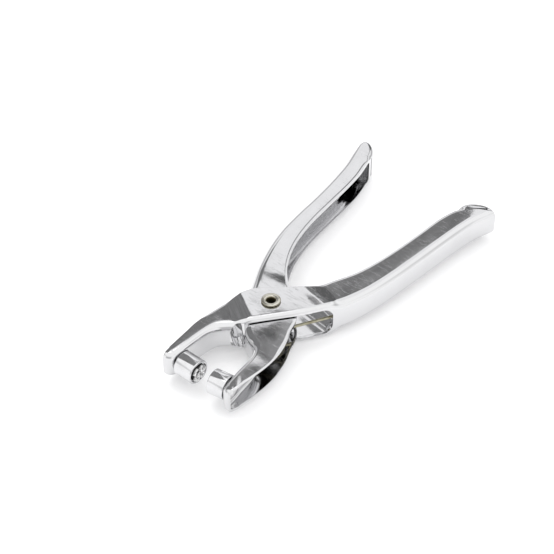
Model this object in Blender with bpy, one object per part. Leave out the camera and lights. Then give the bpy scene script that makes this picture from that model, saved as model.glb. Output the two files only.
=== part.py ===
"""Grommet setter: plier-type eyelet tool of pressed, chrome-plated sheet steel.

Two crossing channel-shaped levers turn on one tubular rivet. The ears of the
outer lever straddle the inner lever, whose jaw comes out through a window in
the outer lever's web. Each jaw carries a riveted die barrel.

Frame: +Z is the pivot axis, with z = 0 on the flat underside of the rivet's
solid head; +Y runs from the jaws to the handles. The tool lies open. All
dimensions below are in millimetres and become metres when a mesh is made.
"""
import math

import bmesh
import bpy
import numpy as np
from mathutils import Matrix, Vector

MM = 0.001
GAP = 0.3                    # clearance between pieces that touch

# Sheet and heights of the levers
SHEET = 1.25                 # thickness of the pressed sheet
EAR_HEIGHT = 17.0            # outer lever across its two ears
HANDLE_HEIGHT = 13.6         # both levers across the handle flanges
WAIST_HEIGHT = 12.4          # inner lever where it runs between the ears
BEND = 3.5                   # outside bend radius of the handles
EAR_BEND = 2.3               # outside bend radius along the ears
NOSE_BEND = 2.6              # outside bend radius along the jaws
TIP_BEND = 2.0               # outside bend radius round the inner lever's tip
FLANGE_SPARE = 2.4           # blank left past the open edge before it is trimmed
FAR_SIDE = 60.0              # well outside the tool, for cutters

# Pivot
HEAD_THICK = 0.9             # solid rivet head, underneath
HEAD_RADIUS = 4.9
SHANK_RADIUS = 2.45
RIVET_BORE = 1.75
FLANGE_RADIUS = 4.05         # rolled end, on top
FLANGE_THICK = 0.75
SLEEVE_WALL = 0.6
WASHER_RADIUS = 6.2
WASHER_THICK = 0.4
EAR_BOTTOM = HEAD_THICK + GAP
MIDDLE = EAR_BOTTOM + EAR_HEIGHT / 2
EAR_TOP = EAR_BOTTOM + EAR_HEIGHT
SLEEVE_BORE = SHANK_RADIUS + GAP
SLEEVE_RADIUS = SLEEVE_BORE + SLEEVE_WALL
WAIST_BORE = SLEEVE_RADIUS + GAP

# Window in the outer lever's web, seen square on to its chord
WINDOW_FROM = (-5.4, -20.1)
WINDOW_TO = (22.6, 12.9)
WINDOW_HEIGHT = 13.4
WINDOW_CORNER = 4.6
WINDOW_DEPTH = 13.0

# Return spring: each leg leaves the coil at an angle, turns at its knee and ends
# lying along a lever's web
WIRE_RADIUS = 0.65
COIL_RADIUS = 5.0
COIL_TURNS = 2
COIL_LOW = -0.3              # levels of the coil's ends above the levers' middle
COIL_HIGH = 2.7
KNEE_REACH = 2.0
OUTER_LEG = -75.0, [(8.3, -2.95), (19.5, 14.8), (22.4, 21.1)]
INNER_LEG = -141.0, [(-14.5, 9.9), (-17.3, 16.4)]

# Dies. The barrels meet face to face after the jaws close by CLOSING degrees.
CLOSING = 9.0
MEETING_ANGLE = 0.9          # middle of the open gap, turned from the -Y axis
DIE_REACH = 43.2             # pivot axis to die axis
DIE_RADIUS = 5.3
SETTER_LENGTH = 8.9
ANVIL_LENGTH = 7.6
FACE_CLEARANCE = 0.2         # left between each face and the closing plane
DIE_BORE = 2.3
CUP_RADIUS = 4.4
SETTER_CUP_DEPTH = 1.1
ANVIL_CUP_DEPTH = 2.2
PIN_RADIUS = 2.0
STAR_RADIUS = 3.9
STAR_PROUD = 1.4             # the star stands this far past the barrel's face
BUTTON_RADIUS = 3.3          # peened end inside the jaw
BUTTON_THICK = 1.1


def smooth(rows, steps):
    """Catmull-Rom curve through the rows, with steps pieces between two rows."""
    rows = np.array(rows, float)
    ends = np.vstack([2 * rows[0] - rows[1], rows, 2 * rows[-1] - rows[-2]])
    made = []
    for before, here, after, last in zip(ends, ends[1:], ends[2:], ends[3:]):
        for t in np.arange(steps) / steps:
            made.append(0.5 * (2 * here + (after - before) * t
                               + (2 * before - 5 * here + 4 * after - last) * t ** 2
                               + (3 * here - before - 3 * after + last) * t ** 3))
    made.append(rows[-1])
    return np.array(made)


# Sections of the outer lever from the tip of its handle to the nose of its jaw:
# web x, web y, open edge x, open edge y, height across the flanges, bend radius
OUTER_SECTIONS = [
    (42.0, 107.6, 29.0, 101.4, HANDLE_HEIGHT, BEND),
    (38.7, 98.2, 26.9, 96.2, HANDLE_HEIGHT, BEND),
    (36.8, 88.6, 24.9, 87.4, HANDLE_HEIGHT, BEND),
    (34.9, 74.6, 23.6, 75.4, HANDLE_HEIGHT, BEND),
    (33.1, 60.2, 21.9, 61.8, HANDLE_HEIGHT, BEND),
    (31.2, 46.4, 19.6, 48.6, HANDLE_HEIGHT, BEND),
    (28.9, 33.4, 16.6, 37.0, HANDLE_HEIGHT + 0.3, BEND),
    (25.6, 22.4, 12.2, 27.0, HANDLE_HEIGHT + 0.8, BEND),
    (23.2, 16.9, 9.9, 21.6, HANDLE_HEIGHT + 1.3, BEND),
    (21.1, 12.9, 7.6, 17.4, EAR_HEIGHT, EAR_BEND),
    (17.4, 7.3, 2.4, 12.9, EAR_HEIGHT, EAR_BEND),
    (12.6, 0.9, -3.6, 7.7, EAR_HEIGHT, EAR_BEND),
    (7.9, -4.7, -9.0, 3.5, EAR_HEIGHT, EAR_BEND),
    (3.2, -10.2, -12.3, -1.4, EAR_HEIGHT, EAR_BEND),
    (-0.2, -14.4, -13.4, -5.8, EAR_HEIGHT, EAR_BEND),
    (-3.4, -18.2, -15.0, -10.4, HANDLE_HEIGHT + 0.6, BEND),
    (-6.6, -20.9, -16.0, -15.2, HANDLE_HEIGHT, BEND),
    (-9.2, -23.6, -16.9, -20.6, HANDLE_HEIGHT, BEND),
    (-10.9, -28.0, -17.6, -26.6, HANDLE_HEIGHT, NOSE_BEND),
    (-11.5, -33.0, -17.4, -32.6, HANDLE_HEIGHT, NOSE_BEND),
    (-11.9, -38.0, -17.2, -37.8, HANDLE_HEIGHT, NOSE_BEND),
    (-12.3, -42.4, -17.2, -42.2, HANDLE_HEIGHT - 0.4, NOSE_BEND + 0.3),
    (-12.5, -44.8, -17.3, -44.8, HANDLE_HEIGHT - 0.8, NOSE_BEND + 0.6),
]
OUTER_ENDS = (5.6, 3.7)      # lengths of the rounded tip and nose past the sections
OUTER_TRIM = [(24.6, 99.1), (29.0, 101.4)], [(-17.0, -44.2), (-16.9, -51.0)]
OUTER_TIP = 0.0, 1.0         # lean of the tip towards the web, share of the spare at the tip

# Sections of the inner lever, in the same order
INNER_SECTIONS = [
    (-34.6, 111.2, -24.2, 107.2, HANDLE_HEIGHT, TIP_BEND),
    (-33.6, 103.6, -23.0, 101.4, HANDLE_HEIGHT, BEND),
    (-31.5, 95.0, -21.2, 93.0, HANDLE_HEIGHT, BEND),
    (-29.7, 82.0, -20.1, 82.4, HANDLE_HEIGHT, BEND),
    (-28.5, 68.0, -19.4, 69.2, HANDLE_HEIGHT, BEND),
    (-27.9, 54.0, -18.6, 55.4, HANDLE_HEIGHT, BEND),
    (-26.7, 41.0, -16.8, 42.8, HANDLE_HEIGHT, BEND),
    (-24.1, 29.2, -13.6, 32.0, HANDLE_HEIGHT, BEND),
    (-20.3, 17.6, -8.4, 22.0, HANDLE_HEIGHT - 0.4, BEND),
    (-16.3, 8.4, -1.6, 14.2, WAIST_HEIGHT, BEND),
    (-12.8, 0.9, 5.2, 8.2, WAIST_HEIGHT, BEND),
    (-9.3, -5.8, 10.6, 3.6, WAIST_HEIGHT, BEND),
    (-5.4, -12.3, 13.7, -1.6, WAIST_HEIGHT, BEND),
    (-1.2, -17.4, 15.3, -7.2, WAIST_HEIGHT, BEND),
    (3.6, -20.8, 17.6, -13.2, WAIST_HEIGHT, BEND),
    (8.0, -22.8, 19.0, -19.2, WAIST_HEIGHT, BEND),
    (10.6, -26.4, 19.6, -25.0, WAIST_HEIGHT, NOSE_BEND),
    (11.5, -31.6, 19.4, -31.4, WAIST_HEIGHT + 0.4, NOSE_BEND),
    (11.9, -37.8, 18.6, -37.9, WAIST_HEIGHT + 0.8, NOSE_BEND),
    (12.3, -42.4, 17.9, -42.2, WAIST_HEIGHT + 0.8, NOSE_BEND + 0.3),
    (12.5, -45.4, 18.0, -45.4, WAIST_HEIGHT + 0.2, NOSE_BEND + 0.6),
]
INNER_ENDS = (5.5, 3.8)
INNER_TRIM = [(-19.5, 105.9), (-24.5, 107.7)], [(17.8, -44.6), (17.2, -46.4), (16.8, -52.0)]
INNER_TIP = 3.6, 0.0

# Finishes: colour, metallic, roughness
FINISHES = {
    "chrome_plate": ((0.80, 0.80, 0.81), 1.0, 0.08),
    "turned_steel": ((0.78, 0.78, 0.78), 1.0, 0.16),
    "nickel_rivet": ((0.70, 0.69, 0.62), 1.0, 0.22),
    "spring_steel": ((0.55, 0.54, 0.50), 1.0, 0.30),
    "zinc_washer": ((0.62, 0.62, 0.60), 1.0, 0.35),
}


def material(name, finish):
    """A Principled material of one of the finishes."""
    made = bpy.data.materials.new(name)
    made.use_nodes = True
    shader = made.node_tree.nodes["Principled BSDF"]
    colour, metallic, roughness = FINISHES[finish]
    shader.inputs["Base Color"].default_value = (*colour, 1.0)
    shader.inputs["Metallic"].default_value = metallic
    shader.inputs["Roughness"].default_value = roughness
    made.diffuse_color = (*colour, 1.0)
    return made


def add_object(name, mesh_builder, finish=None, parent=None, sharp=35.0):
    """Turn a bmesh in millimetres into an object in metres."""
    mesh_builder.transform(Matrix.Scale(MM, 4))
    bmesh.ops.recalc_face_normals(mesh_builder, faces=mesh_builder.faces)
    mesh = bpy.data.meshes.new(name)
    mesh_builder.to_mesh(mesh)
    mesh_builder.free()
    mesh.shade_smooth()
    mesh.set_sharp_from_angle(angle=math.radians(sharp))
    made = bpy.data.objects.new(name, mesh)
    bpy.context.collection.objects.link(made)
    made.parent = parent
    if finish:
        mesh.materials.append(material(name + "_finish", finish))
    return made


def cut(target, cutter):
    """Take the cutter's shape out of the target."""
    cutter.hide_render = True
    cutter.display_type = "WIRE"
    modifier = target.modifiers.new("cut_" + cutter.name, "BOOLEAN")
    modifier.operation = "DIFFERENCE"
    modifier.solver = "EXACT"
    modifier.object = cutter


def turned(profile, segments, placed=Matrix.Identity(4)):
    """Solid of revolution about +Z from a closed profile of (radius, z) points."""
    shape = bmesh.new()
    rings = []
    for turn in range(segments):
        angle = 2 * math.pi * turn / segments
        rings.append([shape.verts.new(placed @ Vector((radius * math.cos(angle),
                                                       radius * math.sin(angle), z)))
                      for radius, z in profile])
    for ring, after in zip(rings, rings[1:] + rings[:1]):
        for low, high in zip(range(len(profile)), [*range(1, len(profile)), 0]):
            shape.faces.new((ring[low], ring[high], after[high], after[low]))
    return shape


def rod(radius, bottom, top, segments, placed=Matrix.Identity(4)):
    """Plain closed cylinder, used for cutters."""
    shape = bmesh.new()
    bmesh.ops.create_cone(shape, cap_ends=True, segments=segments, radius1=radius,
                          radius2=radius, depth=top - bottom,
                          matrix=placed @ Matrix.Translation((0, 0, (top + bottom) / 2)))
    return shape


def add_ends(rows, ends, lean):
    """Close the run of sections with a half-elliptical tip and nose."""
    made = [list(row) for row in rows]
    for end, length, outward in ((0, ends[0], -1), (-1, ends[1], 1)):
        web, far, rest = rows[end][0:2], rows[end][2:4], rows[end][4:]
        run = rows[end][0:2] - rows[end - outward][0:2] + rows[end][2:4] - rows[end - outward][2:4]
        middle, half = (web + far) / 2, (web - far) / 2
        ahead = np.array((-half[1], half[0])) / np.linalg.norm(half)
        ahead *= math.copysign(length, ahead @ run)
        if end == 0:
            ahead += lean * half / np.linalg.norm(half)
        cap = []
        for angle in np.radians((20, 38, 54, 68, 79)):
            middle_now = middle + ahead * math.sin(angle)
            cap.append([*(middle_now + half * math.cos(angle)),
                        *(middle_now - half * math.cos(angle)), *rest])
        made = cap[::-1] + made if end == 0 else made + cap
    return np.array(made)


def inset(outline, distances):
    """Move each point of a closed outline inwards; the outline runs clockwise or not."""
    before, after = np.roll(outline, 1, axis=0), np.roll(outline, -1, axis=0)
    normals = []
    for edge in (outline - before, after - outline):
        edge = edge / np.linalg.norm(edge, axis=1)[:, None]
        normals.append(np.stack([-edge[:, 1], edge[:, 0]], axis=1))
    mean = normals[0] + normals[1]
    mean /= np.linalg.norm(mean, axis=1)[:, None]
    reach = np.asarray(distances) / np.maximum((mean * normals[0]).sum(axis=1), 0.5)
    area = np.sum(outline[:, 0] * after[:, 1] - after[:, 0] * outline[:, 1])
    return outline + mean * reach[:, None] * math.copysign(1.0, area)


def blank(rows, skin):
    """Round-edged solid of a lever before it is trimmed, shrunk by skin all over."""
    count = len(rows)
    outline = np.vstack([rows[:, 0:2], rows[::-1, 2:4]])
    heights = np.concatenate([rows[:, 4], rows[::-1, 4]]) / 2 - skin
    bends = np.concatenate([rows[:, 5], rows[::-1, 5]]) - skin
    shape = bmesh.new()
    loops = []
    for side, angles in ((-1, (90, 60, 30, 0)), (1, (0, 30, 60, 90))):
        for angle in np.radians(angles):
            flat = inset(outline, skin + bends * (1 - math.cos(angle)))
            level = side * (heights - bends * (1 - math.sin(angle))) + MIDDLE
            loops.append([shape.verts.new((x, y, z)) for (x, y), z in zip(flat, level)])
    for loop, after in zip(loops, loops[1:]):
        for first, second in zip(range(2 * count), [*range(1, 2 * count), 0]):
            shape.faces.new((loop[first], loop[second], after[second], after[first]))
    for loop in (loops[0], loops[-1]):
        for rung in range(count - 1):
            shape.faces.new((loop[rung], loop[rung + 1],
                             loop[2 * count - 2 - rung], loop[2 * count - 1 - rung]))
    return shape


def lever(name, sections, ends, trim, tip, parent=None):
    """A pressed lever: a round-edged blank, hollowed to the sheet's thickness and
    trimmed along its open edge."""
    steps = 2
    rows = smooth(sections, steps)
    outward = rows[:, 2:4] - rows[:, 0:2]
    outward /= np.linalg.norm(outward, axis=1)[:, None]
    edge = np.vstack([trim[0], rows[1:-2, 2:4], trim[1]])
    spare = FLANGE_SPARE * np.clip(tip[1] + 2 * np.arange(len(rows)) / steps, 0.0, 1.0)
    rows[:, 2:4] += outward * spare[:, None]
    rows = add_ends(rows, ends, tip[0])
    made = add_object(name, blank(rows, 0.0), "chrome_plate", parent)
    cut(made, add_object(name + "_hollow", blank(rows, SHEET)))
    far = math.copysign(FAR_SIDE, outward[:, 0].mean())
    plan = np.vstack([edge, [(far, edge[-1, 1]), (far, edge[0, 1])]])
    shape = bmesh.new()
    lower = shape.faces.new([shape.verts.new((x, y, -FAR_SIDE)) for x, y in plan])
    moved = bmesh.ops.extrude_face_region(shape, geom=[lower])["geom"]
    bmesh.ops.translate(shape, vec=(0, 0, 2 * FAR_SIDE),
                        verts=[item for item in moved if isinstance(item, bmesh.types.BMVert)])
    cut(made, add_object(name + "_trim", shape))
    return made


def window_cutter():
    """Stadium-shaped bar, square to the chord of the outer lever's web."""
    start, end = np.array(WINDOW_FROM), np.array(WINDOW_TO)
    along = (end - start) / np.linalg.norm(end - start)
    outward = np.array((along[1], -along[0]))
    half_length, half_height = np.linalg.norm(end - start) / 2, WINDOW_HEIGHT / 2
    outline = []
    for corner in range(4):
        side = 1 if corner in (0, 3) else -1
        rise = 1 if corner < 2 else -1
        for angle in np.radians(np.linspace(90 * corner, 90 * corner + 90, 5)):
            outline.append((side * (half_length - WINDOW_CORNER) + WINDOW_CORNER * math.cos(angle),
                            rise * (half_height - WINDOW_CORNER) + WINDOW_CORNER * math.sin(angle)))
    shape = bmesh.new()
    ends = []
    for offset in (-WINDOW_DEPTH / 2, WINDOW_DEPTH / 2):
        centre = (start + end) / 2 + outward * offset
        ends.append([shape.verts.new((*(centre + along * run), MIDDLE + rise))
                     for run, rise in outline])
    shape.faces.new(ends[0])
    shape.faces.new(ends[1][::-1])
    for first, second in zip(range(len(outline)), [*range(1, len(outline)), 0]):
        shape.faces.new((ends[0][first], ends[0][second], ends[1][second], ends[1][first]))
    return add_object("window_cutter", shape)


def die_place(side):
    """Frame of a die: origin on its face's centre, +Z pointing at the other die.
    side is -1 for the outer lever's jaw and +1 for the inner lever's."""
    angle = math.radians(MEETING_ANGLE + side * CLOSING / 2)
    face = Vector((DIE_REACH * math.sin(angle), -DIE_REACH * math.cos(angle), MIDDLE))
    forward = -side * Vector((math.cos(angle), math.sin(angle), 0.0))
    upward = Vector((0.0, 0.0, 1.0))
    basis = Matrix((upward, forward.cross(upward), forward)).transposed()
    return Matrix.Translation(face - forward * FACE_CLEARANCE) @ basis.to_4x4()


def barrel(name, side, length, cup_depth, parent=None):
    """Turned die barrel with a cup in its face and a bore for its pin."""
    edge = 0.35
    profile = [(DIE_BORE, -length), (DIE_RADIUS - edge, -length),
               (DIE_RADIUS, -length + edge), (DIE_RADIUS, -edge), (DIE_RADIUS - edge, 0.0),
               (CUP_RADIUS, 0.0), (CUP_RADIUS - 0.2, -cup_depth), (DIE_BORE, -cup_depth)]
    return add_object(name, turned(profile, 36, die_place(side)), "turned_steel", parent)


def setter_pin():
    """Shank through barrel and jaw with a four-lobed star head and a peened button."""
    button = -SETTER_LENGTH - SHEET - 2 * GAP - 0.1
    lobes, points = 4, 40
    shape = bmesh.new()
    levels = [(button - BUTTON_THICK, BUTTON_RADIUS - 0.5, 0.0), (button - 0.4, BUTTON_RADIUS, 0.0),
              (button, BUTTON_RADIUS, 0.0), (button, PIN_RADIUS, 0.0),
              (-SETTER_CUP_DEPTH + GAP, PIN_RADIUS, 0.0),
              (-SETTER_CUP_DEPTH + GAP, STAR_RADIUS, 0.16), (0.3, STAR_RADIUS, 0.22),
              (STAR_PROUD - 0.4, STAR_RADIUS - 0.7, 0.30), (STAR_PROUD, STAR_RADIUS - 1.6, 0.30)]
    rings = []
    for level, radius, dent in levels:
        ring = []
        for point in range(points):
            angle = 2 * math.pi * point / points
            groove = max(0.0, math.cos(lobes * angle)) ** 3
            reach = radius * (1 - dent * groove)
            ring.append(shape.verts.new((reach * math.cos(angle), reach * math.sin(angle), level)))
        rings.append(ring)
    shape.faces.new(rings[0][::-1])
    shape.faces.new(rings[-1])
    for ring, after in zip(rings, rings[1:]):
        for first, second in zip(range(points), [*range(1, points), 0]):
            shape.faces.new((ring[first], ring[second], after[second], after[first]))
    shape.transform(die_place(-1))
    return add_object("setter_pin", shape, "turned_steel")


def anvil_pin(parent):
    """Shank through barrel and jaw, with a low head in the cup and a peened button."""
    button = -ANVIL_LENGTH - SHEET - 2 * GAP - 0.1
    head = -ANVIL_CUP_DEPTH + GAP
    profile = [(0.0, button - BUTTON_THICK), (BUTTON_RADIUS - 0.5, button - BUTTON_THICK),
               (BUTTON_RADIUS, button - 0.4), (BUTTON_RADIUS, button), (PIN_RADIUS, button),
               (PIN_RADIUS, head), (PIN_RADIUS + 0.6, head), (PIN_RADIUS + 0.6, head + 0.25),
               (0.0, head + 0.25)]
    shape = bmesh.new()
    placed = die_place(1)
    chain = [shape.verts.new(placed @ Vector((radius, 0.0, z))) for radius, z in profile]
    for first, second in zip(chain, chain[1:]):
        shape.edges.new((first, second))
    bmesh.ops.spin(shape, geom=shape.edges[:], cent=placed.translation,
                   axis=placed.to_3x3().col[2], angle=2 * math.pi, steps=32, use_merge=True)
    bmesh.ops.remove_doubles(shape, verts=shape.verts[:], dist=0.0001)
    return add_object("anvil_pin", shape, "turned_steel", parent)


def pivot_rivet():
    """Semi-tubular rivet: solid flat head below, end rolled over on top."""
    roll_bottom = EAR_TOP + GAP
    roll_top = roll_bottom + FLANGE_THICK
    profile = [(0.0, 0.0), (HEAD_RADIUS - 0.3, 0.0), (HEAD_RADIUS, 0.3),
               (HEAD_RADIUS, HEAD_THICK - 0.2), (HEAD_RADIUS - 0.2, HEAD_THICK),
               (SHANK_RADIUS, HEAD_THICK), (SHANK_RADIUS, roll_bottom),
               (FLANGE_RADIUS - 0.2, roll_bottom), (FLANGE_RADIUS, roll_bottom + 0.25),
               (FLANGE_RADIUS - 0.35, roll_bottom + 0.6), (3.0, roll_top), (2.35, roll_top),
               (1.95, roll_top - 0.25), (RIVET_BORE, roll_top - 0.8),
               (RIVET_BORE, MIDDLE), (0.0, MIDDLE - 0.9)]
    shape = bmesh.new()
    chain = [shape.verts.new((radius, 0.0, z)) for radius, z in profile]
    for first, second in zip(chain, chain[1:]):
        shape.edges.new((first, second))
    bmesh.ops.spin(shape, geom=shape.edges[:], cent=(0, 0, 0), axis=(0, 0, 1),
                   angle=2 * math.pi, steps=36, use_merge=True)
    bmesh.ops.remove_doubles(shape, verts=shape.verts[:], dist=0.0001)
    return add_object("pivot_rivet", shape, "nickel_rivet")


def pivot_sleeve():
    """Spacer tube round the rivet, between the ears; it carries the spring."""
    low, high = EAR_BOTTOM + SHEET + GAP, EAR_TOP - SHEET - GAP
    profile = [(SLEEVE_BORE, low), (SLEEVE_RADIUS, low), (SLEEVE_RADIUS, high), (SLEEVE_BORE, high)]
    return add_object("pivot_sleeve", turned(profile, 32), "zinc_washer")


def washer(name, low):
    """Thin spacer washer between an ear and the inner lever."""
    profile = [(WAIST_BORE, low), (WASHER_RADIUS, low), (WASHER_RADIUS, low + WASHER_THICK),
               (WAIST_BORE, low + WASHER_THICK)]
    return add_object(name, turned(profile, 32), "zinc_washer")


def tube(route, radius, sides):
    """Round wire along a route of points, closed at both ends."""
    route = [Vector(point) for point in route]
    headings = [(after - before).normalized()
                for before, after in zip(route[:1] + route[:-1], route[1:] + route[-1:])]
    across = headings[0].cross(Vector((0.0, 0.0, 1.0))).normalized()
    shape = bmesh.new()
    rings = []
    for point, heading in zip(route, headings):
        across = (across - heading * across.dot(heading)).normalized()
        beside = heading.cross(across)
        rings.append([shape.verts.new(point + radius * (across * math.cos(angle)
                                                        + beside * math.sin(angle)))
                      for angle in np.linspace(0, 2 * math.pi, sides, endpoint=False)])
    shape.faces.new(rings[0])
    shape.faces.new(rings[-1])
    for ring, after in zip(rings, rings[1:]):
        for first, second in zip(range(sides), [*range(1, sides), 0]):
            shape.faces.new((ring[first], ring[second], after[second], after[first]))
    return shape


def leg(start, places, level, steps=4):
    """A spring leg from the coil outwards, with a rounded knee at each inner place."""
    corners = [start, *(Vector((x, y, level)) for x, y in places)]
    route = [start]
    for before, corner, after in zip(corners, corners[1:], corners[2:]):
        arrive = corner + (before - corner).normalized() * KNEE_REACH
        leave = corner + (after - corner).normalized() * KNEE_REACH
        for t in np.linspace(0, 1, steps + 1):
            route.append(arrive * (1 - t) ** 2 + corner * 2 * t * (1 - t) + leave * t ** 2)
    return route + [corners[-1]]


def return_spring():
    """Torsion spring: a coil round the sleeve with a leg along the inside of each web."""
    first_angle = math.radians(OUTER_LEG[0])
    last_angle = math.radians(INNER_LEG[0] - 360 * COIL_TURNS)
    low, high = MIDDLE + COIL_LOW, MIDDLE + COIL_HIGH
    coil = []
    for share in np.linspace(0, 1, 16 * COIL_TURNS + 4):
        angle = first_angle + (last_angle - first_angle) * share
        coil.append(Vector((COIL_RADIUS * math.cos(angle), COIL_RADIUS * math.sin(angle),
                            low + (high - low) * share)))
    outer_leg = leg(coil[0], OUTER_LEG[1], low)
    inner_leg = leg(coil[-1], INNER_LEG[1], high)
    route = outer_leg[:0:-1] + coil + inner_leg[1:]
    return add_object("return_spring", tube(route, WIRE_RADIUS, 8), "spring_steel", sharp=60.0)


def build():
    """Make every piece of the tool."""
    for old in list(bpy.data.objects):
        bpy.data.objects.remove(old)

    closing_arm = bpy.data.objects.new("closing_arm", None)
    bpy.context.collection.objects.link(closing_arm)

    outer = lever("outer_lever", OUTER_SECTIONS, OUTER_ENDS, OUTER_TRIM, OUTER_TIP)
    inner = lever("inner_lever", INNER_SECTIONS, INNER_ENDS, INNER_TRIM, INNER_TIP, closing_arm)
    cut(outer, window_cutter())
    cut(outer, add_object("rivet_cutter", rod(SLEEVE_BORE, -5, MIDDLE * 2 + 5, 32)))
    cut(inner, add_object("sleeve_cutter", rod(WAIST_BORE, -5, MIDDLE * 2 + 5, 32)))
    for name, side, length, jaw in (("setter", -1, SETTER_LENGTH, outer),
                                    ("anvil", 1, ANVIL_LENGTH, inner)):
        hole = rod(DIE_BORE, -length - 4, -length + 3, 24, die_place(side))
        cut(jaw, add_object(name + "_hole_cutter", hole))

    pivot_rivet()
    pivot_sleeve()
    washer("upper_washer", EAR_TOP - SHEET - GAP - WASHER_THICK)
    washer("lower_washer", EAR_BOTTOM + SHEET + GAP)
    return_spring()
    barrel("setter_barrel", -1, SETTER_LENGTH, SETTER_CUP_DEPTH)
    setter_pin()
    barrel("anvil_barrel", 1, ANVIL_LENGTH, ANVIL_CUP_DEPTH, closing_arm)
    anvil_pin(closing_arm)


build()
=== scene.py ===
"""Looks of the grommet setter: chrome-plated eyelet pliers on a white floor.

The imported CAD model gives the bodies, the joint and every position. The levers,
dies, rivet and spring are built again here at a finer grain, each in the place of
its CAD node. Dimensions in the tables are millimetres, as in the CAD.
"""
import math

import bmesh
import bpy
import numpy as np
from mathutils import Matrix, Vector


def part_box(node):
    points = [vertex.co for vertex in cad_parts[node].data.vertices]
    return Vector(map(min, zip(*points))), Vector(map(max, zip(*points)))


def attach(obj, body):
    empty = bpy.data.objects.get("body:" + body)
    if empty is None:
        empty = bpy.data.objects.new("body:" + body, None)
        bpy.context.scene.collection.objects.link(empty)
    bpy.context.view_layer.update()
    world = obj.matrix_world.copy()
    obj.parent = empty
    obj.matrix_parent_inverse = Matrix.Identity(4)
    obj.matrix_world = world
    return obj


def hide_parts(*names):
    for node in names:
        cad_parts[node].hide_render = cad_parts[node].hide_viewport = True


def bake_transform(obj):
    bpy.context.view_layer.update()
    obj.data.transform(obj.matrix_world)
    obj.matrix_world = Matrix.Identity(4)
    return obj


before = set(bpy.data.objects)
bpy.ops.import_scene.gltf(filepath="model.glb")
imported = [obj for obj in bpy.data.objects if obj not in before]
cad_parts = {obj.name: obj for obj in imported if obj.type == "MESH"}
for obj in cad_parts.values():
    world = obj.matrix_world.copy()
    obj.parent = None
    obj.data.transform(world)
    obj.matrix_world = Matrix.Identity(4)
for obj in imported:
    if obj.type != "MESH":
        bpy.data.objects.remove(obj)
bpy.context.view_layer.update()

MM = 0.001
OUTER = "outer_body"
INNER = "inner_body"

# Heights read from the CAD, in millimetres
EAR_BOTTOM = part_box("outer_lever")[0].z / MM
EAR_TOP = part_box("outer_lever")[1].z / MM
MIDDLE = (EAR_BOTTOM + EAR_TOP) / 2
EAR_HEIGHT = EAR_TOP - EAR_BOTTOM
RIVET_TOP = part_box("pivot_rivet")[1].z / MM

# Sizes that several pieces share
SHEET = 1.25                 # thickness of the pressed sheet
GAP = 0.3                    # clearance between pieces that touch on the real tool
HANDLE_HEIGHT = 13.6         # across the flanges, along the handles
WAIST_HEIGHT = 12.4          # across the inner lever, where it passes between the ears
BEND = 3.5                   # outer radius of the bends between web and flanges
EAR_BEND = 2.3
NOSE_BEND = 2.6
TIP_BEND = 2.0


# ---------------------------------------------------------------- mesh helpers

def smooth(rows, steps):
    """Catmull-Rom curve through the rows, with steps pieces between two rows."""
    rows = np.array(rows, float)
    ends = np.vstack([2 * rows[0] - rows[1], rows, 2 * rows[-1] - rows[-2]])
    made = []
    for before, here, after, last in zip(ends, ends[1:], ends[2:], ends[3:]):
        for t in np.arange(steps) / steps:
            made.append(0.5 * (2 * here + (after - before) * t
                               + (2 * before - 5 * here + 4 * after - last) * t ** 2
                               + (3 * here - before - 3 * after + last) * t ** 3))
    made.append(rows[-1])
    return np.array(made)


def add_mesh(name, shape, finish=None, placed=Matrix.Identity(4), sharp=35.0):
    """Turn a bmesh in millimetres into an object in metres."""
    shape.transform(Matrix.Scale(MM, 4))
    bmesh.ops.recalc_face_normals(shape, faces=shape.faces)
    mesh = bpy.data.meshes.new(name)
    shape.to_mesh(mesh)
    shape.free()
    mesh.shade_smooth()
    mesh.set_sharp_from_angle(angle=math.radians(sharp))
    made = bpy.data.objects.new(name, mesh)
    bpy.context.collection.objects.link(made)
    made.matrix_world = placed
    if finish:
        mesh.materials.append(finish)
    return made


def baked(target):
    """Turn the object's modifiers into plain mesh."""
    graph = bpy.context.evaluated_depsgraph_get()
    mesh = bpy.data.meshes.new_from_object(target.evaluated_get(graph))
    target.modifiers.clear()
    target.data = mesh


def cut(target, *cutters):
    """Take each cutter's shape out of the target, then drop the cutters."""
    for cutter in cutters:
        modifier = target.modifiers.new(cutter.name, "BOOLEAN")
        modifier.operation = "DIFFERENCE"
        modifier.solver = "EXACT"
        modifier.object = cutter
    bpy.context.view_layer.update()
    baked(target)
    for cutter in cutters:
        bpy.data.objects.remove(cutter)


def polish(target):
    """Round the sheared edges and let flat faces keep their flat shading."""
    sliver, edge_round = 0.01, 0.16
    shape = bmesh.new()
    shape.from_mesh(target.data)
    bmesh.ops.remove_doubles(shape, verts=shape.verts[:], dist=sliver * MM)
    bmesh.ops.dissolve_degenerate(shape, edges=shape.edges[:], dist=1e-6)
    shape.to_mesh(target.data)
    shape.free()
    bevel = target.modifiers.new("edge_round", "BEVEL")
    bevel.width = edge_round * MM
    bevel.segments = 2
    bevel.limit_method = "ANGLE"
    bevel.angle_limit = math.radians(38)
    bevel.use_clamp_overlap = True
    baked(target)
    target.data.shade_smooth()
    target.data.set_sharp_from_angle(angle=math.radians(60))
    weighted = target.modifiers.new("flat_faces", "WEIGHTED_NORMAL")
    weighted.keep_sharp = True
    weighted.weight = 80
    baked(target)


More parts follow.
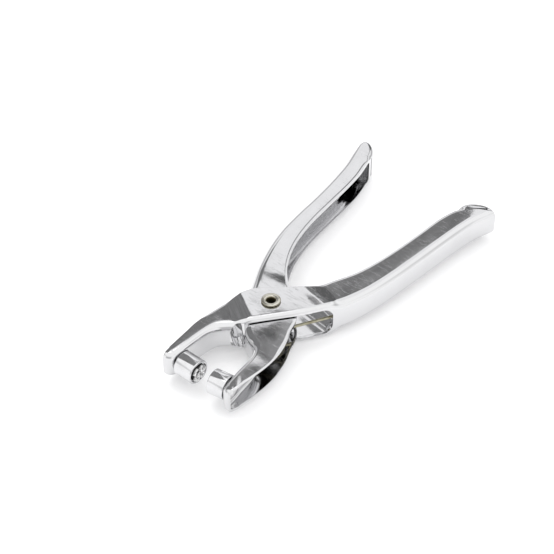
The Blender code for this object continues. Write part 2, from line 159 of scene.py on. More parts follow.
def turned(profile, segments):
    """Solid of revolution about +Z from (radius, z) points; ends on the axis close it."""
    shape = bmesh.new()
    chain = [shape.verts.new((radius, 0.0, z)) for radius, z in profile]
    pairs = list(zip(chain, chain[1:]))
    if profile[0][0] > 0:
        pairs.append((chain[-1], chain[0]))
    for first, second in pairs:
        shape.edges.new((first, second))
    bmesh.ops.spin(shape, geom=shape.edges[:], cent=(0, 0, 0), axis=(0, 0, 1),
                   angle=2 * math.pi, steps=segments, use_merge=True)
    bmesh.ops.remove_doubles(shape, verts=shape.verts[:], dist=1e-5)
    return shape


def arc(centre, radius, first, last, steps):
    """Points of an arc in (radius, z), angles in degrees."""
    return [(centre[0] + radius * math.cos(angle), centre[1] + radius * math.sin(angle))
            for angle in np.radians(np.linspace(first, last, steps + 1))]


# ---------------------------------------------------------------- materials

class Nodes:
    """Short hand for building one node material."""

    def __init__(self, name):
        self.material = bpy.data.materials.new(name)
        self.material.use_nodes = True
        self.tree = self.material.node_tree
        self.shader = self.tree.nodes["Principled BSDF"]
        self.place = self.add("ShaderNodeTexCoord").outputs["Object"]

    def add(self, kind, **settings):
        node = self.tree.nodes.new(kind)
        for key, value in settings.items():
            setattr(node, key, value)
        return node

    def link(self, source, target):
        self.tree.links.new(source, target)

    def stretched(self, scale, turn):
        node = self.add("ShaderNodeMapping")
        node.inputs["Scale"].default_value = scale
        node.inputs["Rotation"].default_value = [math.radians(angle) for angle in turn]
        self.link(self.place, node.inputs["Vector"])
        return node.outputs["Vector"]

    def noise(self, scale, detail, rough, place=None, distortion=0.0):
        node = self.add("ShaderNodeTexNoise")
        node.inputs["Scale"].default_value = scale
        node.inputs["Detail"].default_value = detail
        node.inputs["Roughness"].default_value = rough
        node.inputs["Distortion"].default_value = distortion
        self.link(place or self.place, node.inputs["Vector"])
        return node.outputs["Fac"]

    def range(self, value, low, high, to_low, to_high):
        node = self.add("ShaderNodeMapRange", clamp=True)
        for key, number in zip(("From Min", "From Max", "To Min", "To Max"),
                               (low, high, to_low, to_high)):
            node.inputs[key].default_value = number
        self.link(value, node.inputs["Value"])
        return node.outputs["Result"]

    def math(self, kind, first, second):
        node = self.add("ShaderNodeMath", operation=kind)
        for socket, value in zip(node.inputs, (first, second)):
            if isinstance(value, (int, float)):
                socket.default_value = value
            else:
                self.link(value, socket)
        return node.outputs["Value"]

    def mix(self, share, first, second):
        node = self.add("ShaderNodeMix", data_type="RGBA")
        self.link(share, node.inputs["Factor"])
        node.inputs[6].default_value = (*first, 1.0)
        node.inputs[7].default_value = (*second, 1.0)
        return node.outputs[2]

    def bump(self, height, depth, strength, under=None):
        node = self.add("ShaderNodeBump")
        node.inputs["Distance"].default_value = depth
        node.inputs["Strength"].default_value = strength
        self.link(height, node.inputs["Height"])
        if under:
            self.link(under, node.inputs["Normal"])
        return node.outputs["Normal"]

    def scratches(self, length, width, turn, amount):
        """Fine straight scratches, turned by an angle about Z: 1 on a scratch, 0 elsewhere."""
        place = self.stretched((1 / length, 1 / width, 1 / width), (0.0, 0.0, turn))
        lines = self.noise(1.0, 1.0, 0.4, place, 0.15)
        return self.range(lines, 1 - amount, 1 - amount + 0.03, 0.0, 1.0)


def chrome(name):
    """Bright chrome plate: faint waves of the pressing, hairline scratches, wiped haze."""
    tint, rough, rough_spread = (0.66, 0.66, 0.668), 0.055, 0.012
    made = Nodes(name)
    shader = made.shader
    shader.inputs["Metallic"].default_value = 1.0
    haze = made.range(made.noise(55.0, 3.0, 0.6), 0.46, 0.72, 0.0, 1.0)
    first = made.scratches(0.0090, 0.00022, 62.0, 0.30)
    second = made.scratches(0.0060, 0.00018, 118.0, 0.28)
    third = made.scratches(0.0120, 0.00030, 84.0, 0.27)
    lines = made.math("MAXIMUM", made.math("MAXIMUM", first, second), third)
    dull = made.math("ADD", made.math("MULTIPLY", haze, 0.05), made.math("MULTIPLY", lines, 0.10))
    grain = made.range(made.noise(1500.0, 2.0, 0.6), 0.3, 0.7,
                       rough - rough_spread, rough + rough_spread)
    made.link(made.math("ADD", dull, grain), shader.inputs["Roughness"])
    shade = made.mix(haze, tint, [channel * 0.965 for channel in tint])
    made.link(shade, shader.inputs["Base Color"])
    wave = made.bump(made.noise(42.0, 1.5, 0.4), 0.00040, 0.55)
    peel = made.bump(made.noise(420.0, 2.0, 0.5), 0.000012, 0.5, wave)
    made.link(made.bump(lines, -0.000004, 0.5, peel), shader.inputs["Normal"])
    return made.material


def turned_metal(name):
    """Lathe-turned, plated metal with faint rings about its own axis."""
    tint, rough, ring_pitch, ring_depth = (0.69, 0.69, 0.70), 0.07, 0.00216, 0.000005
    made = Nodes(name)
    shader = made.shader
    shader.inputs["Metallic"].default_value = 1.0
    rings = made.add("ShaderNodeTexWave", wave_type="BANDS", bands_direction="Z")
    rings.inputs["Scale"].default_value = math.tau / 20 / ring_pitch
    rings.inputs["Distortion"].default_value = 1.2
    rings.inputs["Detail"].default_value = 2.0
    rings.inputs["Detail Scale"].default_value = 3.0
    made.link(made.place, rings.inputs["Vector"])
    haze = made.range(made.noise(240.0, 3.0, 0.6), 0.42, 0.70, 0.0, 1.0)
    pits = made.range(made.noise(2600.0, 1.0, 0.5), 0.68, 0.74, 0.0, 1.0)
    dull = made.math("ADD", made.math("MULTIPLY", haze, 0.07), made.math("MULTIPLY", pits, 0.12))
    made.link(made.math("ADD", dull, rough), shader.inputs["Roughness"])
    made.link(made.mix(haze, tint, [channel * 0.93 for channel in tint]), shader.inputs["Base Color"])
    grooves = made.bump(rings.outputs["Fac"], ring_depth, 0.5)
    made.link(made.bump(made.noise(900.0, 2.0, 0.5), 0.000006, 0.5, grooves), shader.inputs["Normal"])
    return made.material


def pin_metal(name):
    """Bright turned steel, painted near-black as painted shade below the die's face (in the cup, on
    the star's low sides and down the shank, not the peened end), with random darker patches.
    """
    made = Nodes(name)
    shader = made.shader
    shader.inputs["Metallic"].default_value = 1.0
    split = made.add("ShaderNodeSeparateXYZ")
    made.link(made.place, split.inputs["Vector"])
    # Painted shade: the pin is painted near-black below about 1 mm over the die's face, save the
    # peened end
    below_rim = made.range(split.outputs["Z"], 0.0001, 0.0010, 1.0, 0.0)
    not_peened_end = made.range(split.outputs["Z"], -0.0060, -0.0050, 0.0, 1.0)
    painted_cup_shade = made.math("MULTIPLY", below_rim, not_peened_end)
    patches = made.range(made.noise(900.0, 3.0, 0.6), 0.40, 0.70, 0.0, 0.35)
    # Painted shade together with the random darker patches
    painted_shade_and_patches = made.math("MAXIMUM", painted_cup_shade, patches)
    made.link(made.mix(painted_shade_and_patches, (0.74, 0.74, 0.74), (0.06, 0.06, 0.06)), shader.inputs["Base Color"])
    made.link(made.range(painted_shade_and_patches, 0.0, 1.0, 0.10, 0.35), shader.inputs["Roughness"])
    made.link(made.bump(made.noise(2000.0, 2.0, 0.6), 0.00001, 0.5), shader.inputs["Normal"])
    return made.material


def rivet_metal(name):
    """Warm nickel plate, rolled over by a setting tool, with painted shade darkening its bore, a
    painted shadow round the outside of its rolled rim, and random darker specks.
    """
    made = Nodes(name)
    shader = made.shader
    shader.inputs["Metallic"].default_value = 1.0
    split = made.add("ShaderNodeSeparateXYZ")
    made.link(made.place, split.inputs["Vector"])
    square = made.math("ADD", made.math("MULTIPLY", split.outputs["X"], split.outputs["X"]),
                       made.math("MULTIPLY", split.outputs["Y"], split.outputs["Y"]))
    radius = made.math("SQRT", square, 0.0)
    rings = made.add("ShaderNodeTexNoise", noise_dimensions="1D")
    rings.inputs["Scale"].default_value = 9000.0
    rings.inputs["Detail"].default_value = 3.0
    made.link(radius, rings.inputs["W"])
    # Painted shade inside the bore, in dark brown
    bore = made.range(radius, 0.0019, 0.0024, 1.0, 0.0)
    # Painted shadow round the outside of the rolled rim, and on the rivet further out
    painted_rim_shadow = made.range(radius, 0.0036, 0.0040, 0.0, 0.8)
    specks = made.range(made.noise(700.0, 3.0, 0.6), 0.56, 0.75, 0.0, 0.5)
    # Painted shade and shadow together with the random darker specks
    painted_shade_and_patches = made.math("MAXIMUM", made.math("MAXIMUM", bore, painted_rim_shadow), specks)
    made.link(made.mix(painted_shade_and_patches, (0.62, 0.60, 0.53), (0.19, 0.165, 0.10)), shader.inputs["Base Color"])
    made.link(made.range(painted_shade_and_patches, 0.0, 1.0, 0.17, 0.42), shader.inputs["Roughness"])
    marks = made.bump(rings.outputs["Fac"], 0.00002, 0.5)
    made.link(made.bump(made.noise(1500.0, 3.0, 0.6), 0.00002, 0.5, marks), shader.inputs["Normal"])
    return made.material


def wire_metal(name):
    """Oil-tempered spring wire: olive-brown in random patches, with a fine grain of bumps."""
    made = Nodes(name)
    shader = made.shader
    shader.inputs["Metallic"].default_value = 1.0
    patches = made.range(made.noise(350.0, 3.0, 0.6), 0.38, 0.66, 0.0, 1.0)
    made.link(made.mix(patches, (0.42, 0.40, 0.31), (0.27, 0.25, 0.17)), shader.inputs["Base Color"])
    made.link(made.range(patches, 0.0, 1.0, 0.26, 0.40), shader.inputs["Roughness"])
    made.link(made.bump(made.noise(2400.0, 2.0, 0.6), 0.00001, 0.5), shader.inputs["Normal"])
    return made.material


def zinc_plate(name):
    """Dull zinc plate of the small parts inside the pivot."""
    tint, rough = (0.62, 0.62, 0.60), 0.30
    made = Nodes(name)
    shader = made.shader
    shader.inputs["Metallic"].default_value = 1.0
    patches = made.range(made.noise(500.0, 3.0, 0.6), 0.40, 0.66, 0.0, 1.0)
    made.link(made.mix(patches, tint, [channel * 0.8 for channel in tint]),
              shader.inputs["Base Color"])
    made.link(made.range(patches, 0.0, 1.0, rough, rough + 0.14), shader.inputs["Roughness"])
    made.link(made.bump(made.noise(2000.0, 2.0, 0.6), 0.00001, 0.5), shader.inputs["Normal"])
    return made.material


# ---------------------------------------------------------------- levers

# SECTIONS run from the handle's tip to the jaw's nose: web x, web y, open edge x, open edge y,
#   height across the flanges, bend radius
# ENDS: length of the half-elliptical tip and nose
# TRIM: where the cut along the open edge starts round the tip and ends round the nose
# TIP: how far the tip leans towards the web, and the share of FLANGE_SPARE it starts with
OUTER_SECTIONS = [
    (42.0, 107.6, 29.0, 101.4, HANDLE_HEIGHT, BEND),
    (38.7, 98.2, 26.9, 96.2, HANDLE_HEIGHT, BEND),
    (36.8, 88.6, 24.9, 87.4, HANDLE_HEIGHT, BEND),
    (34.9, 74.6, 23.6, 75.4, HANDLE_HEIGHT, BEND),
    (33.1, 60.2, 21.9, 61.8, HANDLE_HEIGHT, BEND),
    (31.2, 46.4, 19.6, 48.6, HANDLE_HEIGHT, BEND),
    (28.9, 33.4, 16.6, 37.0, HANDLE_HEIGHT + 0.3, BEND),
    (25.6, 22.4, 12.2, 27.0, HANDLE_HEIGHT + 0.8, BEND),
    (23.2, 16.9, 9.9, 21.6, HANDLE_HEIGHT + 1.3, BEND),
    (21.1, 12.9, 7.6, 17.4, EAR_HEIGHT, EAR_BEND),
    (17.4, 7.3, 2.4, 12.9, EAR_HEIGHT, EAR_BEND),
    (12.6, 0.9, -3.6, 7.7, EAR_HEIGHT, EAR_BEND),
    (7.9, -4.7, -9.0, 3.5, EAR_HEIGHT, EAR_BEND),
    (3.2, -10.2, -12.3, -1.4, EAR_HEIGHT, EAR_BEND),
    (-0.2, -14.4, -13.4, -5.8, EAR_HEIGHT, EAR_BEND),
    (-3.4, -18.2, -15.0, -10.4, HANDLE_HEIGHT + 0.6, BEND),
    (-6.6, -20.9, -16.0, -15.2, HANDLE_HEIGHT, BEND),
    (-9.2, -23.6, -16.9, -20.6, HANDLE_HEIGHT, BEND),
    (-10.9, -28.0, -17.6, -26.6, HANDLE_HEIGHT, NOSE_BEND),
    (-11.5, -33.0, -17.4, -32.6, HANDLE_HEIGHT, NOSE_BEND),
    (-11.9, -38.0, -17.2, -37.8, HANDLE_HEIGHT, NOSE_BEND),
    (-12.3, -42.4, -17.2, -42.2, HANDLE_HEIGHT - 0.4, NOSE_BEND + 0.3),
    (-12.5, -44.8, -17.3, -44.8, HANDLE_HEIGHT - 0.8, NOSE_BEND + 0.6),
]
OUTER_ENDS = 5.6, 3.7
OUTER_TRIM = [(24.6, 99.1), (29.0, 101.4)], [(-17.0, -44.2), (-16.9, -51.0)]
OUTER_TIP = 0.0, 1.0
INNER_SECTIONS = [
    (-34.6, 111.2, -24.2, 107.2, HANDLE_HEIGHT, TIP_BEND),
    (-33.6, 103.6, -23.0, 101.4, HANDLE_HEIGHT, BEND),
    (-31.5, 95.0, -21.2, 93.0, HANDLE_HEIGHT, BEND),
    (-29.7, 82.0, -20.1, 82.4, HANDLE_HEIGHT, BEND),
    (-28.5, 68.0, -19.4, 69.2, HANDLE_HEIGHT, BEND),
    (-27.9, 54.0, -18.6, 55.4, HANDLE_HEIGHT, BEND),
    (-26.7, 41.0, -16.8, 42.8, HANDLE_HEIGHT, BEND),
    (-24.1, 29.2, -13.6, 32.0, HANDLE_HEIGHT, BEND),
    (-20.3, 17.6, -8.4, 22.0, HANDLE_HEIGHT - 0.4, BEND),
    (-16.3, 8.4, -1.6, 14.2, WAIST_HEIGHT, BEND),
    (-12.8, 0.9, 5.2, 8.2, WAIST_HEIGHT, BEND),
    (-9.3, -5.8, 10.6, 3.6, WAIST_HEIGHT, BEND),
    (-5.4, -12.3, 13.7, -1.6, WAIST_HEIGHT, BEND),
    (-1.2, -17.4, 15.3, -7.2, WAIST_HEIGHT, BEND),
    (3.6, -20.8, 17.6, -13.2, WAIST_HEIGHT, BEND),
    (8.0, -22.8, 19.0, -19.2, WAIST_HEIGHT, BEND),
    (10.6, -26.4, 19.6, -25.0, WAIST_HEIGHT, NOSE_BEND),
    (11.5, -31.6, 19.4, -31.4, WAIST_HEIGHT + 0.4, NOSE_BEND),
    (11.9, -37.8, 18.6, -37.9, WAIST_HEIGHT + 0.8, NOSE_BEND),
    (12.3, -42.4, 17.9, -42.2, WAIST_HEIGHT + 0.8, NOSE_BEND + 0.3),
    (12.5, -45.4, 18.0, -45.4, WAIST_HEIGHT + 0.2, NOSE_BEND + 0.6),
]
INNER_ENDS = 5.5, 3.8
INNER_TRIM = [(-19.5, 105.9), (-24.5, 107.7)], [(17.8, -44.6), (17.2, -46.4), (16.8, -52.0)]
INNER_TIP = 3.6, 0.0
GRAIN = 4                    # pieces between two sections
BEND_STEPS = 8               # facets round a bend
CAP_ANGLES = (9, 18, 27, 36, 45, 53, 61, 68, 74, 79, 83)     # rungs round a tip or a nose
FLANGE_SPARE = 2.4           # how far the blank reaches past the trimmed edge
FAR_SIDE = 60.0              # beyond every outline


def add_ends(rows, ends, lean):
    """Close the run of sections with a half-elliptical tip and nose."""
    made = [list(row) for row in rows]
    for end, length, outward in ((0, ends[0], -1), (-1, ends[1], 1)):
        web, far, rest = rows[end][0:2], rows[end][2:4], rows[end][4:]
        inner = rows[end - outward]
        run = web - inner[0:2] + far - inner[2:4]
        middle, half = (web + far) / 2, (web - far) / 2
        ahead = np.array((-half[1], half[0])) / np.linalg.norm(half)
        ahead *= math.copysign(length, ahead @ run)
        if end == 0:
            ahead += lean * half / np.linalg.norm(half)
        cap = []
        for angle in np.radians(CAP_ANGLES):
            middle_now = middle + ahead * math.sin(angle)
            cap.append([*(middle_now + half * math.cos(angle)),
                        *(middle_now - half * math.cos(angle)), *rest])
        made = cap[::-1] + made if end == 0 else made + cap
    return np.array(made)


def inset(outline, distances):
    """Move each point of a closed outline inwards."""
    before, after = np.roll(outline, 1, axis=0), np.roll(outline, -1, axis=0)
    normals = []
    for edge in (outline - before, after - outline):
        edge = edge / np.linalg.norm(edge, axis=1)[:, None]
        normals.append(np.stack([-edge[:, 1], edge[:, 0]], axis=1))
    mean = normals[0] + normals[1]
    mean /= np.linalg.norm(mean, axis=1)[:, None]
    reach = np.asarray(distances) / np.maximum((mean * normals[0]).sum(axis=1), 0.5)
    area = np.sum(outline[:, 0] * after[:, 1] - after[:, 0] * outline[:, 1])
    return outline + mean * reach[:, None] * math.copysign(1.0, area)


def blank(rows, skin):
    """Round-edged solid of a lever before it is trimmed, shrunk by skin all over."""
    count = len(rows)
    outline = np.vstack([rows[:, 0:2], rows[::-1, 2:4]])
    heights = np.concatenate([rows[:, 4], rows[::-1, 4]]) / 2 - skin
    bends = np.concatenate([rows[:, 5], rows[::-1, 5]]) - skin
    angles = np.linspace(0, 90, BEND_STEPS + 1)
    shape = bmesh.new()
    loops = []
    for side, turn in ((-1, angles[::-1]), (1, angles)):
        for angle in np.radians(turn):
            flat = inset(outline, skin + bends * (1 - math.cos(angle)))
            level = side * (heights - bends * (1 - math.sin(angle))) + MIDDLE
            loops.append([shape.verts.new((x, y, z)) for (x, y), z in zip(flat, level)])
    for loop, after in zip(loops, loops[1:]):
        for first, second in zip(range(2 * count), [*range(1, 2 * count), 0]):
            shape.faces.new((loop[first], loop[second], after[second], after[first]))
    for loop in (loops[0], loops[-1]):
        for rung in range(count - 1):
            shape.faces.new((loop[rung], loop[rung + 1],
                             loop[2 * count - 2 - rung], loop[2 * count - 1 - rung]))
    return shape


def prism(plan, low, high):
    """Upright prism over a plan outline."""
    shape = bmesh.new()
    lower = shape.faces.new([shape.verts.new((x, y, low)) for x, y in plan])
    moved = bmesh.ops.extrude_face_region(shape, geom=[lower])["geom"]
    bmesh.ops.translate(shape, vec=(0, 0, high - low),
                        verts=[item for item in moved if isinstance(item, bmesh.types.BMVert)])
    return shape


def lever(name, sections, ends, trim, tip):
    """A pressed lever: blank, hollowed to the sheet's thickness, trimmed along its open edge."""
    rows = smooth(sections, GRAIN)
    outward = rows[:, 2:4] - rows[:, 0:2]
    outward /= np.linalg.norm(outward, axis=1)[:, None]
    edge = np.vstack([trim[0], rows[1:-2, 2:4], trim[1]])
    spare = FLANGE_SPARE * np.clip(tip[1] + 2 * np.arange(len(rows)) / GRAIN, 0.0, 1.0)
    rows[:, 2:4] += outward * spare[:, None]
    rows = add_ends(rows, ends, tip[0])
    made = add_mesh(name, blank(rows, 0.0))
    far = math.copysign(FAR_SIDE, outward[:, 0].mean())
    plan = np.vstack([edge, [(far, edge[-1, 1]), (far, edge[0, 1])]])
    cut(made, add_mesh(name + "_hollow", blank(rows, SHEET)),
        add_mesh(name + "_trim", prism(plan, -FAR_SIDE, FAR_SIDE)))
    return made


def window_cutter():
    """Stadium-shaped bar, square to the chord of the outer lever's web."""
    start, end = np.array((-5.4, -20.1)), np.array((22.6, 12.9))
    height, corner_radius, reach = 13.4, 4.6, 6.5
    along = (end - start) / np.linalg.norm(end - start)
    outward = np.array((along[1], -along[0]))
    half_length, half_height = np.linalg.norm(end - start) / 2, height / 2
    outline = []
    for corner in range(4):
        side = 1 if corner in (0, 3) else -1
        rise = 1 if corner < 2 else -1
        for angle in np.radians(np.linspace(90 * corner, 90 * corner + 90, 13)):
            outline.append((side * (half_length - corner_radius) + corner_radius * math.cos(angle),
                            rise * (half_height - corner_radius) + corner_radius * math.sin(angle)))
    shape = bmesh.new()
    faces = []
    for offset in (-reach, reach):
        centre = (start + end) / 2 + outward * offset
        faces.append([shape.verts.new((*(centre + along * run), MIDDLE + rise))
                      for run, rise in outline])
    shape.faces.new(faces[0])
    shape.faces.new(faces[1][::-1])
    for first, second in zip(range(len(outline)), [*range(1, len(outline)), 0]):
        shape.faces.new((faces[0][first], faces[0][second], faces[1][second], faces[1][first]))
    return add_mesh("window_cutter", shape)


def rod(name, radius, bottom, top, placed=Matrix.Identity(4)):
    """Plain closed cylinder, used for cutters."""
    shape = bmesh.new()
    bmesh.ops.create_cone(shape, cap_ends=True, segments=64, radius1=radius, radius2=radius,
                          depth=top - bottom, matrix=Matrix.Translation((0, 0, (top + bottom) / 2)))
    return add_mesh(name, shape, placed=placed)


# ---------------------------------------------------------------- dies

SETTER, ANVIL = -1, 1        # sides: the outer lever's jaw and the inner lever's
CLOSING = 9.0                # degrees from open to closed
MEETING_ANGLE = 0.9          # degrees from -Y to the middle of the gap between the open dies
DIE_REACH = 43.2             # from the pivot to the dies' axis
DIE_RADIUS = 5.3
FACE_CLEARANCE = 0.2         # of each die's face when closed
DIE_BORE = 2.3
CUP_RADIUS = 4.4
PIN_RADIUS = 2.0
HEAD_RISE = 0.3              # underside of a pin's head above the cup's floor
STAR_RADIUS = 3.9
STAR_PROUD = 1.4
BUTTON_RADIUS = 3.3
BUTTON_THICK = 1.1
BUTTON_STANDOFF = 0.7        # the clearances on both sides of the sheet together
LENGTH = {SETTER: 8.9, ANVIL: 7.6}
CUP_DEPTH = {SETTER: 1.1, ANVIL: 2.2}


def die_place(side):
    """Frame of a die, in metres: origin on its face's centre, +Z pointing at the other die."""
    angle = math.radians(MEETING_ANGLE + side * CLOSING / 2)
    face = Vector((DIE_REACH * math.sin(angle), -DIE_REACH * math.cos(angle), MIDDLE))
    forward = -side * Vector((math.cos(angle), math.sin(angle), 0.0))
    upward = Vector((0.0, 0.0, 1.0))
    basis = Matrix((upward, forward.cross(upward), forward)).transposed()
    return Matrix.Translation((face - forward * FACE_CLEARANCE) * MM) @ basis.to_4x4()


def barrel(name, side, finish):
    """Turned barrel with rounded rims and a dished cup in its face."""
    length, depth = LENGTH[side], CUP_DEPTH[side]
    edge, lip, hollow = 0.45, 0.14, 0.5
    profile = [(DIE_BORE, -length + 0.05), (DIE_BORE + 0.05, -length)]
    profile += arc((DIE_RADIUS - edge, -length + edge), edge, -90, 0, 5)
    profile += [(DIE_RADIUS, -length / 2)]
    profile += arc((DIE_RADIUS - edge, -edge), edge, 0, 90, 6)
    profile += arc((CUP_RADIUS + lip, -lip), lip, 90, 180, 4)
    profile += arc((CUP_RADIUS - hollow, -depth + hollow), hollow, 0, -90, 5)
    profile += [(DIE_BORE, -depth)]
    return add_mesh(name, turned(profile, 96), finish, die_place(side), 50)


def button(length):
    """Profile of the peened end inside the jaw, from its crown to the shank."""
    level = -length - SHEET - BUTTON_STANDOFF
    return [(0.0, level - BUTTON_THICK), (1.2, level - BUTTON_THICK + 0.02),
            (2.2, level - BUTTON_THICK + 0.16), (2.9, level - BUTTON_THICK + 0.42),
            (BUTTON_RADIUS, level - 0.35), (BUTTON_RADIUS, level - 0.1),
            (BUTTON_RADIUS - 0.1, level), (PIN_RADIUS, level)]


def anvil_pin(finish):
    """Shank with a low domed head in the cup."""
    head = -CUP_DEPTH[ANVIL] + HEAD_RISE
    profile = button(LENGTH[ANVIL])
    profile += [(PIN_RADIUS, head), (PIN_RADIUS + 0.5, head), (PIN_RADIUS + 0.6, head + 0.1),
                (PIN_RADIUS + 0.5, head + 0.22), (1.2, head + 0.25), (0.0, head + 0.25)]
    return add_mesh("anvil_pin_fine", turned(profile, 72), finish, die_place(ANVIL), 50)


def setter_pin(finish):
    """Shank with a star head standing out of the cup: four domes with grooves between them."""
    head = -CUP_DEPTH[SETTER] + HEAD_RISE
    # Rings of the pin: level, radius, share taken off the radius in a groove, depth of a groove
    levels = [(level, radius, 0.0, 0.0) for radius, level in button(LENGTH[SETTER])[1:]]
    levels += [
        (head, PIN_RADIUS, 0.0, 0.0),
        (head, STAR_RADIUS - 0.15, 0.20, 0.0),
        (head + 0.15, STAR_RADIUS, 0.20, 0.0),
        (0.3, STAR_RADIUS, 0.30, 0.0),
        (0.7, STAR_RADIUS - 0.12, 0.34, 0.0),
        (STAR_PROUD - 0.4, STAR_RADIUS - 0.5, 0.36, 0.15),
        (STAR_PROUD - 0.12, STAR_RADIUS - 0.95, 0.32, 0.45),
        (STAR_PROUD, STAR_RADIUS - 1.5, 0.22, 0.75),
        (STAR_PROUD - 0.05, STAR_RADIUS - 2.2, 0.10, 0.85),
        (STAR_PROUD - 0.35, STAR_RADIUS - 3.0, 0.0, 0.6),
    ]
    points = 128
    angles = np.linspace(0, 2 * math.pi, points, endpoint=False)
    groove = np.maximum(0.0, np.cos(4 * angles)) ** 1.6
    shape = bmesh.new()
    rings = []
    for level, radius, dent, sink in levels:
        reach = radius * (1 - dent * groove)
        rings.append([shape.verts.new((distance * math.cos(angle), distance * math.sin(angle),
                                       level - sink * dip))
                      for distance, angle, dip in zip(reach, angles, groove)])
    for ring, level in ((rings[0], levels[0][0] - 0.02), (rings[-1], STAR_PROUD - 0.8)):
        middle = shape.verts.new((0.0, 0.0, level))
        for first, second in zip(ring, ring[1:] + ring[:1]):
            shape.faces.new((first, second, middle))
    for ring, after in zip(rings, rings[1:]):
        for first, second in zip(range(points), [*range(1, points), 0]):
            shape.faces.new((ring[first], ring[second], after[second], after[first]))
    return add_mesh("setter_pin_fine", shape, finish, die_place(SETTER), 40)


# ---------------------------------------------------------------- pivot and spring

def pivot_rivet(finish):
    """Semi-tubular rivet: flat head below, the tube's end rolled over on top."""
    head, head_top, shank, bore = 4.85, 0.9, 2.45, 1.75
    roll, top = EAR_TOP + GAP, RIVET_TOP
    profile = [(0.0, 0.0), (head - 0.35, 0.0)] + arc((head - 0.3, 0.3), 0.3, -90, 0, 4)
    profile += arc((head - 0.2, head_top - 0.2), 0.2, 0, 90, 3)
    profile += [(shank, head_top), (shank, roll), (3.85, roll)]
    profile += arc((3.75, roll + 0.3), 0.3, -60, 40, 5)
    profile += [(3.72, top - 0.17), (3.4, top - 0.05), (3.0, top), (2.6, top - 0.01),
                (2.3, top - 0.1), (2.05, top - 0.32), (1.88, top - 0.7), (1.78, top - 1.3),
                (bore, top - 2.4), (bore, MIDDLE), (1.2, MIDDLE - 0.6), (0.0, MIDDLE - 0.9)]
    return add_mesh("pivot_rivet_fine", turned(profile, 96), finish, sharp=50)


def ring(name, inner, outer, low, high, finish):
    """Flat ring or tube with slightly rounded rims."""
    edge = 0.08
    profile = [(inner, low + edge), (inner + edge, low),
               (outer - edge, low), (outer, low + edge),
               (outer, high - edge), (outer - edge, high),
               (inner + edge, high), (inner, high - edge)]
    return add_mesh(name, turned(profile, 72), finish, sharp=50)


SLEEVE = 2.75, 3.35          # inner and outer radius
WASHER = 3.65, 6.2
WASHER_THICK = 0.4
WIRE_RADIUS = 0.65
COIL_RADIUS = 5.0
COIL_TURNS = 2
COIL_LOW, COIL_HIGH = MIDDLE - 0.3, MIDDLE + 2.7
KNEE_REACH = 2.0             # from a leg's corner to the start of its rounding
# Each leg: the coil's angle where it leaves, then its places on the way out
OUTER_LEG = -75.0, [(8.3, -2.95), (19.5, 14.8), (22.4, 21.1)]
INNER_LEG = -141.0, [(-14.5, 9.9), (-17.3, 16.4)]


def leg(start, places, level):
    """A spring leg from the coil outwards, with a rounded knee at each inner place."""
    corners = [start, *(Vector((x, y, level)) for x, y in places)]
    route = [start]
    for before, corner, after in zip(corners, corners[1:], corners[2:]):
        arrive = corner + (before - corner).normalized() * KNEE_REACH
        leave = corner + (after - corner).normalized() * KNEE_REACH
        for t in np.linspace(0, 1, 13):
            route.append(arrive * (1 - t) ** 2 + corner * 2 * t * (1 - t) + leave * t ** 2)
    return route + [corners[-1]]


def return_spring(finish):
    """Torsion spring with round wire, its ends cut square and slightly rounded."""
    first_angle = math.radians(OUTER_LEG[0])
    last_angle = math.radians(INNER_LEG[0] - 360 * COIL_TURNS)
    end_round, end_share = 0.12, 0.8
    coil = []
    for share in np.linspace(0, 1, 48 * COIL_TURNS + 8):
        angle = first_angle + (last_angle - first_angle) * share
        coil.append(Vector((COIL_RADIUS * math.cos(angle), COIL_RADIUS * math.sin(angle),
                            COIL_LOW + (COIL_HIGH - COIL_LOW) * share)))
    route = leg(coil[0], OUTER_LEG[1], COIL_LOW)[:0:-1] + coil
    route += leg(coil[-1], INNER_LEG[1], COIL_HIGH)[1:]
    headings = [(after - before).normalized()
                for before, after in zip(route[:1] + route[:-1], route[1:] + route[-1:])]
    sides = 20
    across = headings[0].cross(Vector((0.0, 0.0, 1.0))).normalized()
    stations = [(route[0], headings[0], end_share),
                (route[0] + headings[0] * end_round, headings[0], 1.0)]
    stations += [(point, heading, 1.0) for point, heading in zip(route[1:-1], headings[1:-1])]
    stations += [(route[-1] - headings[-1] * end_round, headings[-1], 1.0),
                 (route[-1], headings[-1], end_share)]
    shape = bmesh.new()
    rings = []
    for point, heading, share in stations:
        across = (across - heading * across.dot(heading)).normalized()
        beside = heading.cross(across)
        rings.append([shape.verts.new(point + WIRE_RADIUS * share
                                      * (across * math.cos(angle) + beside * math.sin(angle)))
                      for angle in np.linspace(0, 2 * math.pi, sides, endpoint=False)])
    shape.faces.new(rings[0])
    shape.faces.new(rings[-1])
    for ring_now, after in zip(rings, rings[1:]):
        for first, second in zip(range(sides), [*range(1, sides), 0]):
            shape.faces.new((ring_now[first], ring_now[second], after[second], after[first]))
    return add_mesh("return_spring_fine", shape, finish, sharp=50)


# ---------------------------------------------------------------- the tool

